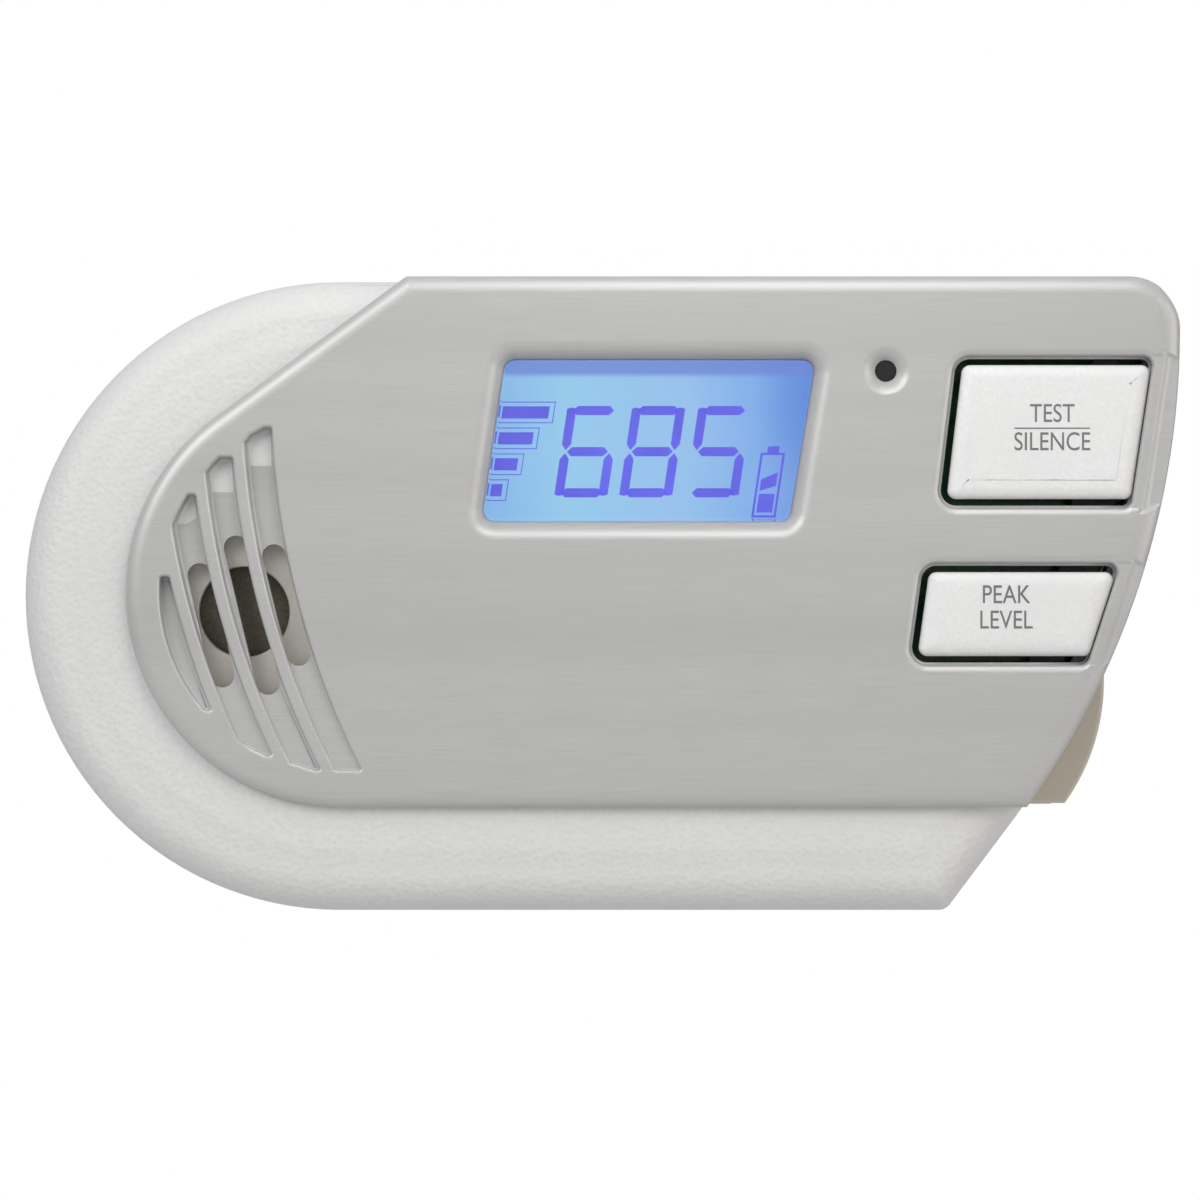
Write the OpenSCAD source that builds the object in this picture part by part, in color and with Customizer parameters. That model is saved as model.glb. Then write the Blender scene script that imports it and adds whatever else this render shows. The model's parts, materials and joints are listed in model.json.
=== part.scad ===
// Plug-in gas and carbon monoxide alarm. X runs to the right, Z up and Y into the wall.
// The origin is midway between the two plug blades, on the wall plane.

/* [Case] */
// Thickness of the case walls
wall = 2.2; // [2:0.1:2.3]
// Radius of the rim round the front case
rim_r = 5.5; // [5:0.25:6]
// Radius of the rear case's back edge
back_edge_r = 3; // [2:0.5:3]

/* [Fascia] */
// Height of the fascia's face over the front case
fascia_rise = 2.2; // [2:0.1:2.4]
// Thickness of the fascia's plate
fascia_t = 1.8; // [1.6:0.1:1.9]
// Width of one grille rib
rib_w = 1.85; // [1.4:0.05:2.1]
// Distance from one grille rib to the next
rib_pitch = 5.65; // [5.6:0.05:5.7]
// Half the width of a sound slot
slot_r = 1.75; // [1.4:0.05:1.8]

/* [Keys] */
// Gap round each key
key_gap = 1.2; // [0.9:0.1:1.3]
// Height of the keys over the fascia's face
key_rise = 0.2; // [0:0.1:0.5]

/* [Plug] */
// Length of the blades beyond the wall plane
blade_l = 16.5; // [15.9:0.1:18.2]

/* [Hidden] */
$fn = 48;
past = 1;                              // how far a cutter runs past a face

// Levels from the fascia's face to the wall plane at y = 0
face_y = -38;
fascia_back_y = face_y + fascia_t;
plateau_y = face_y + fascia_rise;      // the front case's face
plateau_back_y = plateau_y + wall;
channel_y = face_y + 2.4;              // floor of the grille channels
tray_back_y = plateau_y + 1.6;         // underside of the grille tray
split_y = -22;                         // where the two cases meet
board_front_y = -25.6;
board_back_y = -24;

// Outline, seen from the front. The right side is one arc, and its tangent below that
top_z = 43.75;
round_end = [-36.3, 0];
side_c = [-33, 36.7];
side_r = 113.2;
side_a = -36.87;
fascia_top = 44.2;
fascia_end_c = [-35.8, 0.6];
fascia_end_r = 29.8;
fascia_bottom = fascia_end_c[1] - fascia_end_r;
diagonal_a = 126.3;                    // where the round end runs into the diagonal edge
side_wall = 2;                         // room for the fascia's wall at the top and right

// Corner lists are [x, z, radius], counterclockwise from the lower left
lcd_corners = [[-16.4, 10.3, 1.6], [26.2, 10.3, 1.6], [29.9, 32.7, 1.6], [-13.1, 32.7, 1.6]];
test_corners = [[47.9, 13.4, 1.2], [73.4, 13.4, 1.2], [76.2, 31.9, 1.2], [50.1, 31.9, 1.2]];
peak_corners = [[43.9, -8.3, 1.2], [67.6, -8.3, 1.2], [71.4, 3.3, 1.2], [45.5, 3.3, 1.2]];
lcd_flare = [[-1.8, -0.1], [-0.9, 0.4], [0, 1.3]];  // inset, and depth from the fascia's face
led_at = [39.5, 31.1];

// Grille and horn
grille_r = 25;
rib_c = [69.3, 28.4];                  // centre of the right-hand channel's curve
rib_curve_r = 114.8;
channels = 4;
slot_ends = [[[-55.4, 2.9], [-52.2, -11]], [[-50.4, 6.7], [-45.9, -12]], [[-45.1, 5.5], [-41.7, -8]]];
horn_at = [-49.4, -2.2];
horn_r = 15;
horn_front_y = -33.4;

// Keys turn on a hinge line near their right end and press on a post this far from it
key_lever = 14;
key_hinge_in = 6;
key_depth = 2.1;
key_post_r = 2;
key_bead_r = 0.8;                      // round bead along the hinge line
key_end_gap = 0.3;
key_rail = 1.7;                        // outer edge of the rail beside a key's right end
hinge_y = -33.7;
plunger_y = [-30.6, -27.2];
plunger_r = 1.7;
switch_front_y = -29;

// Screws, seen from the front
case_screw_at = [[-66, 22], [-66, -22], [38, -37], [60, 37]];
board_screw_at = [[-25, 33], [-25, -23], [38, -22], [38.5, 20]];
seat_y = -12;                          // where the case screws' posts meet
stiffeners = [[-26.5, -38, 36], [38, -36, 26]];  // each as x, and its lower and upper end
rib_half = 0.5;
rib_h = 1.2;
cavity_edge = [[2.2, 0], [0.4, 1.5], [0, 3]];  // inset, and depth past the face's back
head_y = -10.4;

// Battery bay: a tunnel in the rear case that opens to the right
bay_low = [13.4, -21.4, -28.1];
bay_high = [63.6, -2.2, 1.2];
bay_wall = 1.2;
bay_play = 0.3;
battery_low = [17.1, -20.95, -26.7];
battery_size = [46.4, 17.5, 26.5];
terminal_l = 2.1;
terminal_pitch = 12.7;
cap_end_c = [41.6, -12];
cap_end_r = 29.5;
cap_z = [-29.2, 2.3];
cap_lip_t = 0.6;
cap_play = [0.5, 0.2];                 // gap under the drawer's cap, and over it

// Plug
blade_x = 6.35;
blade_size = [1.5, 6.35];
blade_tail_y = -14;
plug_half = [11, 8.5];
plug_depth = 12;

label_low = [-62, -13];
label_high = [-28, 13];

// Outlines --------------------------------------------------------------------

function unit(v) = v / norm(v);
function xz(c) = [c[0], c[1]];
function left_of(v) = [-v[1], v[0]];
function item(list, i) = list[(i + len(list)) % len(list)];

// Corners moved inwards by d, with their radii to match
function inset(c, d) = [for (i = [0:len(c) - 1])
  let (b = xz(c[i]), u = left_of(unit(b - xz(item(c, i - 1)))),
    v = left_of(unit(xz(item(c, i + 1)) - b)), p = b + d * (u + v) / (1 + u * v))
  [p[0], p[1], c[i][2] > 0 ? max(c[i][2] - d, 0.2) : 0]];

// Points of the rounded corner b between a and c
function corner(a, b, c, r, n) =
  let (u = unit(a - b), v = unit(c - b), half = acos(u * v) / 2, m = b + unit(u + v) * r / sin(half),
    s = b + u * r / tan(half) - m, e = b + v * r / tan(half) - m, start = atan2(s[1], s[0]),
    turn = (atan2(e[1], e[0]) - start + 540) % 360 - 180)
  [for (k = [0:n]) m + r * [cos(start + turn * k / n), sin(start + turn * k / n)]];

function outline(c) = [for (i = [0:len(c) - 1])
  let (b = xz(c[i]), a = xz(item(c, i - 1)), e = xz(item(c, i + 1)))
  each c[i][2] == 0 ? [b] : corner(a, b, e, c[i][2], max(3, ceil(acos(unit(b - a) * unit(e - b)) / 9)))];

function arc(c, r, a0, a1, n) = [for (k = [0:n])
  let (a = a0 + (a1 - a0) * k / n) [c[0] + r * cos(a), c[1] + r * sin(a), 0]];

// The right side at radius r, from the lower corner to the upper one
function bowed_side(r, low, high, low_r, high_r) =
  let (e = side_c + r * [cos(side_a), sin(side_a)])
  concat([[e[0] - (e[1] - low) * tan(-side_a), low, low_r]], arc(side_c, r, side_a, 0, 12),
    [[side_c[0] + r, high, high_r]]);

function case_corners() = concat(bowed_side(side_r, -top_z, top_z, 2, 6.9),
  arc(round_end, top_z, 90, 270, 30));

function cavity_corners() = let (low = wall - top_z, high = fascia_top - side_wall - wall) concat(
  bowed_side(side_r - side_wall - wall, low, high, 1, 3),
  arc([round_end[0], (low + high) / 2], (high - low) / 2, 90, 270, 30));

// Where the fascia's diagonal edge meets its top edge
function fascia_peak_x() = let (t = fascia_end_c + fascia_end_r * [cos(diagonal_a), sin(diagonal_a)])
  t[0] - (fascia_top - t[1]) * tan(diagonal_a);

function fascia_corners() = concat(
  arc(side_c, side_r, asin((fascia_bottom - side_c[1]) / side_r), 0, 12),
  [[side_c[0] + side_r, fascia_top, 7], [fascia_peak_x(), fascia_top, 0.8]],
  arc(fascia_end_c, fascia_end_r, diagonal_a, 270, 20));

// Rounded edges as [inset, y] pairs: at the front from y0, and at the back up to y1
function front_edge(y0, r, n) = [for (k = [0:n]) let (t = 90 * k / n)
  [r * (1 - sin(t)), y0 + r * (1 - cos(t))]];
function back_edge(y1, r, n) = [for (k = [0:n]) let (t = 90 * k / n)
  [r * (1 - cos(t)), y1 - r * (1 - sin(t))]];

// A key's opening: a gap on three sides, and close to the key's right end
function key_opening(c) =
  let (g = inset(c, -key_gap), back = [(key_gap - key_end_gap) / key_edge(c)[1], 0, 0])
  [g[0], g[1] - back, g[2] - back, g[3]];
function notch_corner(c, i, d) = xz(inset(c, -key_gap)[i]) + [(d - key_gap) / key_edge(c)[1], 0];
function key_edge(c) = unit(xz(c[2]) - xz(c[1]));
function hinge_at(c) = (xz(c[1]) + xz(c[2])) / 2 - [key_hinge_in, 0];
function post_at(c) = hinge_at(c) - [key_lever / key_edge(c)[1], 0];
function hinge_line(c, z) = [hinge_at(c)[0] + (z - hinge_at(c)[1]) * key_edge(c)[0] / key_edge(c)[1], z];

// Shapes ----------------------------------------------------------------------

module area(c, d = 0) polygon(outline(inset(c, d)));
module slab(y0, y1) rotate([90, 0, 0]) translate([0, 0, -y1]) linear_extrude(y1 - y0) children();
module block(low, high) translate(low) cube(high - low);
module rod(at, r, y0, y1) translate([at[0], y0, at[1]]) rotate([-90, 0, 0]) cylinder(h = y1 - y0, r = r);
module cone(at, r0, r1, y0, y1) translate([at[0], y0, at[1]]) rotate([-90, 0, 0])
  cylinder(h = y1 - y0, r1 = r0, r2 = r1);

// Solid through one outline at each [inset, y] of a profile, front to back
module loft(c, profile) {
  rings = [for (p = profile) [for (q = outline(inset(c, p[0]))) [q[0], p[1], q[1]]]];
  n = len(rings[0]);
  last = (len(rings) - 1) * n;
  polyhedron([for (r = rings) each r], concat(
    [[for (j = [n - 1:-1:0]) j]],
    [for (i = [0:n:last - n]) for (j = [0:n - 1]) let (k = (j + 1) % n)
      [i + j, i + k, i + n + k, i + n + j]],
    [[for (j = [0:n - 1]) last + j]]));
}

// The fascia wraps over the top side and the right side
module wrapped_sides() {
  translate([fascia_peak_x(), fascia_top - 6]) square([120, 12]);
  translate([56, fascia_bottom]) square([40, 80]);
}

module rib_curve(shift) translate([rib_c[0] + shift, rib_c[1]]) circle(r = rib_curve_r, $fn = 200);

// Round grille area, cut off along the right-hand rib
module grille_area(grow) difference() {
  translate(fascia_end_c) circle(r = grille_r + grow);
  rib_curve(grow);
}

module slot_area(ends) {
  side = left_of(unit(ends[1] - ends[0])) * slot_r;
  polygon([ends[0] + side, ends[0] - side, ends[1] - side, ends[1] + side]);
  for (p = ends) translate(p) circle(r = slot_r);
}

// Outer parts -----------------------------------------------------------------

module rear_case() color("gainsboro") {
  difference() {
    union() {
      difference() {
        loft(case_corners(), concat([[0, split_y]], back_edge(0, back_edge_r, 4)));
        loft(inset(case_corners(), wall), [[0, split_y - past], [0, -wall]]);
      }
      block(bay_low - bay_wall * [1, 0.5, 1], [bay_high[0], -0.6, bay_high[2] + bay_wall]);
      for (p = case_screw_at) rod(p, 4.6, seat_y, -past);
    }
    block(bay_low, bay_high + [past, 0, 0]);
    // Room for the drawer's cap, and for the contacts' tabs
    block([bay_high[0], split_y - past, cap_z[0] - cap_play[0]], [90, -wall, cap_z[1] + cap_play[1]]);
    slab(split_y - past, split_y + 0.2 + cap_lip_t + 0.1) outside_case(0.05);
    for (z = contact_z())
      block([bay_low[0], split_y - past, z - 1.2], [bay_low[0] + 1, bay_low[1] + past, z + 1.2]);
    for (p = case_screw_at) {
      rod(p, 3.2, head_y, past);
      rod(p, 1.7, seat_y - past, head_y + past);
    }
    block([-plug_half[0], -wall - past, -plug_half[1]], [plug_half[0], past, plug_half[1]]);
    block([label_low[0], -0.2, label_low[1]], [label_high[0], past, label_high[1]]);
    // Vents in the bottom and the top
    for (i = [0:7]) translate([-41 + 6.5 * i, 0, 0]) {
      block([-0.9, -17, -50], [0.9, -6, -38]);
      block([-0.9, -17, 38], [0.9, -6, 50]);
    }
  }
  // Back wall behind the drawer's cap
  slab(-wall, -0.6) cap_area();
}

module front_case() color("whitesmoke") {
  difference() {
    loft(case_corners(), concat(front_edge(plateau_y, rim_r, 6), [[0, split_y]]));
    loft(cavity_corners(),
      concat([for (s = cavity_edge) [s[0], plateau_back_y + s[1]]], [[0, split_y + past]]));
    slab(face_y, split_y + past) intersection() {
      difference() {
        area(case_corners(), -1);
        area(fascia_corners(), side_wall);
      }
      wrapped_sides();
    }
    slab(face_y, plateau_back_y + past) {
      grille_area(1.6);
      area(lcd_corners, -2.4);
      // The key openings stay on the flat of the face
      intersection() {
        area(cavity_corners(), rim_r - wall + 0.3);
        union() {
          area(key_opening(test_corners), 0.3);
          area(key_opening(peak_corners), 0.3);
        }
      }
    }
    rod(led_at, 1.7, face_y, plateau_back_y + past);
  }
  // Stiffening ribs inside the face
  for (r = stiffeners)
    block([r[0] - rib_half, plateau_back_y - 0.3, r[1]], [r[0] + rib_half, plateau_back_y + rib_h, r[2]]);
  for (p = case_screw_at) post(p, 3.5, 1.5, seat_y);
  for (p = board_screw_at) post(p, 2.6, 1.1, board_front_y);
}

// Screw post on the inside of the front case
module post(at, r, bore_r, end_y) difference() {
  rod(at, r, plateau_back_y - 0.5, end_y);
  rod(at, bore_r, plateau_back_y + 1.5, end_y + past);
}

module fascia() color("silver") difference() {
  union() {
    loft(fascia_corners(), concat(front_edge(face_y, 1.2, 3), [[0, fascia_back_y]]));
    // Rim that stands on the front case
    slab(fascia_back_y, plateau_y) difference() {
      area(fascia_corners());
      area(fascia_corners(), 1.6);
    }
    // Walls over the top and right sides
    slab(fascia_back_y, split_y - 0.3) intersection() {
      difference() {
        area(fascia_corners());
        area(fascia_corners(), side_wall - 0.2);
      }
      wrapped_sides();
    }
    slab(fascia_back_y, tray_back_y) grille_area(1.2);
  }
  loft(lcd_corners, concat([for (s = lcd_flare) [s[0], face_y + s[1]]], [[0, fascia_back_y + 0.2]]));
  slab(face_y - past, fascia_back_y + 0.6) {
    area(key_opening(test_corners));
    area(key_opening(peak_corners));
  }
  // Shallow notches from the keys over the right side
  for (c = [test_corners, peak_corners]) {
    slab(face_y - past, face_y + 0.15) key_notch(c, -1);
    slab(face_y - past, face_y + 0.7) key_notch(c, key_rail);
  }
  rod(led_at, 1.5, face_y - past, fascia_back_y + past);
  cone(led_at, 3.2, 1.5, face_y, face_y + 1.3);
  // Grille channels, and the sound slots in their floors
  slab(face_y - past, channel_y) channel_area();
  slab(channel_y - 0.1, tray_back_y + past) intersection() {
    channel_area();
    for (s = slot_ends) slot_area(s);
  }
}

module channel_area() intersection() {
  grille_area(0);
  for (i = [0:channels - 1]) let (shift = -i * rib_pitch) difference() {
    rib_curve(shift - rib_pitch + rib_w);
    rib_curve(shift);
  }
}

// Strip from a distance past a key's right end to beyond the fascia's side
module key_notch(c, d) polygon([notch_corner(c, 1, d), notch_corner(c, 1, 20), notch_corner(c, 2, 20),
  notch_corner(c, 2, d)]);

// Keys ------------------------------------------------------------------------

module key(c) {
  loft(c, concat(front_edge(face_y - key_rise, 0.8, 3), [[0, face_y - key_rise + key_depth]]));
  // Rib over the hinge line, and the post that presses the switch
  slab(face_y - key_rise + key_depth, hinge_y - 0.15) key_rib(c, c[1][1] + 1, c[2][1] - 1, 0.6);
  bead(c, 1, key_bead_r);
  rod(post_at(c), key_post_r, face_y - key_rise + key_depth, plunger_y[0] - 0.05);
}

module key_rib(c, z0, z1, half) let (a = hinge_line(c, z0), b = hinge_line(c, z1), w = [half, 0])
  polygon([a - w, a + w, b + w, b - w]);

// Round bar along a key's hinge line, short of the key's edges
module bead(c, short, r) {
  a = hinge_line(c, c[1][1] + short);
  b = hinge_line(c, c[2][1] - short);
  tilt = atan2(b[0] - a[0], b[1] - a[1]);
  translate([a[0], hinge_y, a[1]]) rotate([0, tilt, 0]) cylinder(h = norm(b - a), r = r);
}

module test_key() color("white") key(test_corners);
module peak_key() color("white") key(peak_corners);

// Strip inside the front case, with a groove that each key's bead turns in
module key_hinge_strip() color("black") difference() {
  line = [hinge_line(peak_corners, -11.5), hinge_line(peak_corners, 6.5),
    hinge_line(test_corners, 10), hinge_line(test_corners, 35.4)];
  slab(plateau_back_y, plateau_back_y + 1.6) intersection() {
    polygon(concat([for (p = line) p + [1.8, 0]], [for (i = [3:-1:0]) line[i] - [1.8, 0]]));
    area(cavity_corners(), rim_r - wall + 0.1);
  }
  for (c = [test_corners, peak_corners]) bead(c, 0.8, key_bead_r + 0.06);
}

module switch_body(c) difference() {
  let (p = post_at(c)) block([p[0] - 3, switch_front_y, p[1] - 3], [p[0] + 3, board_front_y, p[1] + 3]);
  rod(post_at(c), plunger_r + 0.05, switch_front_y - past, plunger_y[1] + 0.6);
}

module test_switch_body() color("dimgray") switch_body(test_corners);
module peak_switch_body() color("dimgray") switch_body(peak_corners);
module plunger(c) rod(post_at(c), plunger_r, plunger_y[0], plunger_y[1]);
module test_switch_plunger() color("black") plunger(test_corners);
module peak_switch_plunger() color("black") plunger(peak_corners);

// Display ---------------------------------------------------------------------

module lcd_window() color("aliceblue") slab(-36.1, -34.7) area(lcd_corners, -1.9);
module lcd_glass() color("lightsteelblue") block([-20, -32.8, 6.5], [33, -30.8, 35.8]);
module lcd_backlight() color("white") block([-19, -30.6, 10], [32, -27.6, 33]);
module zebra_strips() color("black") for (z = [7, 33.4])
  block([-18, -30.8, z], [31, board_front_y, z + 2.2]);
module lcd_holder() color("white") difference() {
  block([-21.6, -32.9, 5], [34.6, board_front_y, 37.3]);
  block([-20.1, -32.9 - past, 6.4], [33.1, board_front_y + past, 35.9]);
}

module status_led() color("red") {
  rod(led_at, 1.5, -27.4, board_front_y);
  translate([led_at[0], -27.4, led_at[1]]) sphere(r = 1.5);
}
module led_light_guide() color("gray") {
  rod(led_at, 1.4, -36.4, -29.2);
  rod(led_at, 2.4, plateau_back_y + 0.1, plateau_back_y + 1.1);
}

// Horn ------------------------------------------------------------------------

module horn_chamber() color("wheat") difference() {
  rod(horn_at, horn_r, horn_front_y, board_front_y - 0.8);
  rod(horn_at, 6.25, horn_front_y - past, board_front_y);
  rod(horn_at, 12, horn_front_y + 1.2, board_front_y);
  rod(horn_at, 13.3, -31, board_front_y);
}
module horn_gasket() color("dimgray") difference() {
  rod(horn_at, horn_r, board_front_y - 0.8, board_front_y);
  rod(horn_at, 13.3, board_front_y - past, board_front_y + past);
}
module piezo_disc() color("darkkhaki") {
  rod(horn_at, 13.2, -31, -30.7);
  rod(horn_at, 9.5, -30.7, -30.4);
}
module horn_leads() color("red") {
  rod(horn_at + [5, 0], 0.4, -30.4, board_front_y);
  rod(horn_at - [11.3, 0], 0.4, -30.7, board_front_y);
}

// Circuit ---------------------------------------------------------------------

module circuit_board() color("darkgreen") slab(board_front_y, board_back_y) difference() {
  area(cavity_corners(), 0.6);
  for (p = case_screw_at) translate(p) circle(r = 3.9);
  for (p = board_screw_at) translate(p) circle(r = 1.3);
}
module microcontroller() color("black") block([-15, board_back_y, -33], [-5, -22.4, -23]);
module surface_parts() color("tan") for (i = [0:6]) for (j = [0:1])
  block([-45 + 4 * i, board_back_y, -30 + 3.5 * j], [-43 + 4 * i, board_back_y + 0.9, -28.8 + 3.5 * j]);
module co_sensor_cell() color("silver") {
  rod([-54, -2], 9.5, board_back_y, -8);
  rod([-54, -2], 7, -8, -7.2);
}
module gas_sensor() color("silver") {
  rod([-42, 25], 4.6, -32.6, -26.8);
  rod([-42, 25], 5.2, -26.8, board_front_y);
}
module transformer_core() color("slategray") difference() {
  block([-16, -18.5, 12.3], [16, -7.5, 38.7]);
  for (s = [-1, 1]) translate([s * 7.95, 0, 25.5]) block([-2.65, -20, -8], [2.65, -6, 8]);
}
module transformer_coil() color("gold") difference() {
  block([-10.6, -23.9, 17.5], [10.6, -3.5, 33.5]);
  block([-5.3, -18.5, 10], [5.3, -7.5, 40]);
}
module capacitors() color("midnightblue") for (z = [14, 25.5]) rod([-28, z], 5, board_back_y, -9);
module fuse() color("lightgray") translate([-12, -21.4, -15]) rotate([0, 90, 0]) cylinder(h = 20, r = 2.6);
module varistor() color("royalblue") {
  rod([-22, -14], 5, -22.8, -19.2);
  for (s = [-2.5, 2.5]) rod([-22 + s, -14], 0.4, board_back_y, -22.8);
}

// Plug ------------------------------------------------------------------------

module blade_area() square([blade_size[0], blade_size[1]], center = true);

module blade(x) translate([x, 0, 0]) difference() {
  slab(blade_tail_y, blade_l) blade_area();
  translate([0, blade_l - 4.5, 0]) rotate([0, 90, 0]) cylinder(h = 4, r = 1.6, center = true);
  // Sloped edges at the tip
  for (s = [-1, 1]) translate([0, blade_l, s * 4.3]) rotate([45, 0, 0]) cube([4, 3, 3], center = true);
}
module blade_live() color("silver") blade(-blade_x);
module blade_neutral() color("silver") blade(blade_x);

module plug_block() color("black") difference() {
  union() {
    block([-plug_half[0], -plug_depth, -plug_half[1]], [plug_half[0], 0, plug_half[1]]);
    block([-plug_half[0] - 1, -4.2, -plug_half[1] - 2], [plug_half[0] + 1, -wall, plug_half[1] + 2]);
  }
  for (x = [-blade_x, blade_x]) translate([x, 0, 0]) slab(-plug_depth - past, past) blade_area();
}
module mains_leads() color("firebrick") for (x = [-blade_x, blade_x])
  rod([x, 0], 0.9, board_back_y, blade_tail_y);

// Battery ---------------------------------------------------------------------

function battery_mid_y() = battery_low[1] + battery_size[1] / 2;
function battery_mid_z() = battery_low[2] + battery_size[2] / 2;
function contact_z() = [battery_mid_z() - terminal_pitch / 2, battery_mid_z() + terminal_pitch / 2];

module battery_contacts() color("silver") for (z = contact_z()) {
  block([bay_low[0] + 0.1, -17, z - 3], [bay_low[0] + 1.5, -7, z + 3]);
  block([bay_low[0] + 0.1, board_back_y, z - 1], [bay_low[0] + 0.9, -17, z + 1]);
}

module cap_area() intersection() {
  union() {
    translate(cap_end_c) circle(r = cap_end_r);
    translate(cap_end_c) square([cap_end_r, 20]);
  }
  translate([bay_high[0] + 0.3, cap_z[0]]) square([20, cap_z[1] - cap_z[0]]);
}

// The bay's corner that stands out past the case's side
module outside_case(gap) difference() {
  translate([bay_high[0] - 12, cap_z[0] - 0.2]) square([12.6, 16]);
  area(case_corners(), -gap);
}

module battery_drawer() color("wheat") {
  low = bay_low + bay_play * [1, 1, 1] + [1.9, 0, 0];
  high = [bay_high[0] + 0.3, bay_high[1] - bay_play, bay_high[2] - bay_play];
  block([low[0], battery_low[1] + battery_size[1], low[2]], high);
  for (z = [[low[2], battery_low[2]], [battery_low[2] + battery_size[2], high[2]]])
    block([low[0], low[1], z[0]], [high[0], high[1], z[1]]);
  // Stops at the battery's terminal end
  for (z = [[low[2], low[2] + 2.8], [high[2] - 2.8, high[2]]])
    block([low[0], low[1], z[0]], [battery_low[0], high[1], z[1]]);
  // Lip over the bay's corner
  slab(split_y + 0.2, split_y + 0.2 + cap_lip_t) intersection() {
    outside_case(0.3);
    translate([0, cap_z[0]]) square([100, 40]);
  }
  // Cap, with a grip groove in its end
  difference() {
    slab(split_y + 0.2, -wall - bay_play) cap_area();
    translate([cap_end_c[0] + cap_end_r + 0.4, -12, 2]) cylinder(h = 40, r = 1.6, center = true);
  }
}
module battery() color("goldenrod") translate(battery_low) cube(battery_size);
module battery_terminals() color("silver") translate([battery_low[0], battery_mid_y(), 0]) {
  translate([0, 0, contact_z()[1]]) rotate([0, -90, 0]) cylinder(h = terminal_l, r = 2.9);
  translate([0, 0, contact_z()[0]]) rotate([0, -90, 0]) difference() {
    cylinder(h = terminal_l, r = 4.3, $fn = 6);
    translate([0, 0, 0.6]) cylinder(h = terminal_l, r = 3);
  }
}

// Fasteners and label ---------------------------------------------------------

module screw(at, head_r, shank_r, head, end_y) difference() {
  union() {
    rod(at, head_r, head[0], head[1]);
    rod(at, shank_r, end_y, head[0]);
  }
  translate([at[0], head[1], at[1]]) for (a = [0, 90]) rotate([0, a, 0])
    cube([head_r * 1.3, 1.8, head_r * 0.28], center = true);
}
module case_screws() color("dimgray") for (p = case_screw_at)
  screw(p, 2.9, 1.45, [head_y, head_y + 1.9], -24);
module board_screws() color("silver") for (p = board_screw_at)
  screw(p, 2.3, 1.05, [board_back_y, board_back_y + 1.5], -30);
module rating_label() color("white") block([label_low[0] + 0.3, -0.2, label_low[1] + 0.3],
  [label_high[0] - 0.3, -0.05, label_high[1] - 0.3]);

rear_case();
front_case();
fascia();
lcd_window();
lcd_holder();
lcd_glass();
lcd_backlight();
zebra_strips();
horn_chamber();
horn_gasket();
piezo_disc();
horn_leads();
circuit_board();
microcontroller();
surface_parts();
co_sensor_cell();
gas_sensor();
transformer_core();
transformer_coil();
capacitors();
fuse();
varistor();
test_switch_body();
peak_switch_body();
test_switch_plunger();
peak_switch_plunger();
test_key();
peak_key();
key_hinge_strip();
status_led();
led_light_guide();
plug_block();
blade_live();
blade_neutral();
mains_leads();
battery_contacts();
battery_drawer();
battery();
battery_terminals();
case_screws();
board_screws();
rating_label();
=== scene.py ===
"""Plug-in gas and carbon monoxide alarm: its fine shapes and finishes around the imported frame."""

from __future__ import annotations

import json
import logging
import math
from dataclasses import dataclass, field
from enum import Enum
from typing import Sequence

import bmesh
import bpy
from mathutils import Matrix, Vector

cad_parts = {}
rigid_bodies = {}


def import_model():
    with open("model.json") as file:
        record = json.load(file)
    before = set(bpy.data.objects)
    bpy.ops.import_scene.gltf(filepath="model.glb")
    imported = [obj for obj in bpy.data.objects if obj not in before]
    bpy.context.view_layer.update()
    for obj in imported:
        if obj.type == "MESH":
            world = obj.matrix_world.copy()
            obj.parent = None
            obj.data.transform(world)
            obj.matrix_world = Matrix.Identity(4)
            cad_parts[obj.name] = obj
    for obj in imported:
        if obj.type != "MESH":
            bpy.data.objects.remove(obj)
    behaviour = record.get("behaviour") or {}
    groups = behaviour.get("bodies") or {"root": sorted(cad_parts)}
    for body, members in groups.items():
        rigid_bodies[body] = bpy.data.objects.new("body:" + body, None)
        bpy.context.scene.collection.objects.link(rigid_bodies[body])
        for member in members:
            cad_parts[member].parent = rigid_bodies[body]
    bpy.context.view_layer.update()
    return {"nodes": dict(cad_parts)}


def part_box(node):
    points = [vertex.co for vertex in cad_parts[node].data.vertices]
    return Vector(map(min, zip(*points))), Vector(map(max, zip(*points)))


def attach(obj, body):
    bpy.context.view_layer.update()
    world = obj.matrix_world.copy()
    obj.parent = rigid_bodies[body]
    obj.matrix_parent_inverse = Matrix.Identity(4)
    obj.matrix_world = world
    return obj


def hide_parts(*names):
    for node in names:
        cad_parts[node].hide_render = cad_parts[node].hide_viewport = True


for leftover in list(bpy.data.objects):
    bpy.data.objects.remove(leftover)
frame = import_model()

MM = 0.001
Corner = tuple[float, float, float]
Profile = Sequence[tuple[float, float]]
Colour = tuple[float, float, float]
log = logging.getLogger("alarm")


# Outlines are lists of (x, z, radius) corners in millimetres, counterclockwise from the front.


def arc(cx: float, cz: float, r: float, a0: float, a1: float, n: int) -> list[Corner]:
    """Points of an arc.

    Args:
        cx: The centre's x.
        cz: The centre's z.
        r: The radius.
        a0: The first angle in degrees.
        a1: The last angle in degrees.
        n: How many steps the arc has.

    Returns:
        The arc's points as corners of radius 0.
    """
    turns = [math.radians(a0 + (a1 - a0) * k / n) for k in range(n + 1)]
    return [(cx + r * math.cos(t), cz + r * math.sin(t), 0.0) for t in turns]


def circle(cx: float, cz: float, r: float, n: int = 64) -> list[Corner]:
    """Points of a whole circle."""
    return arc(cx, cz, r, 0, 360, n)[:-1]


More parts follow.
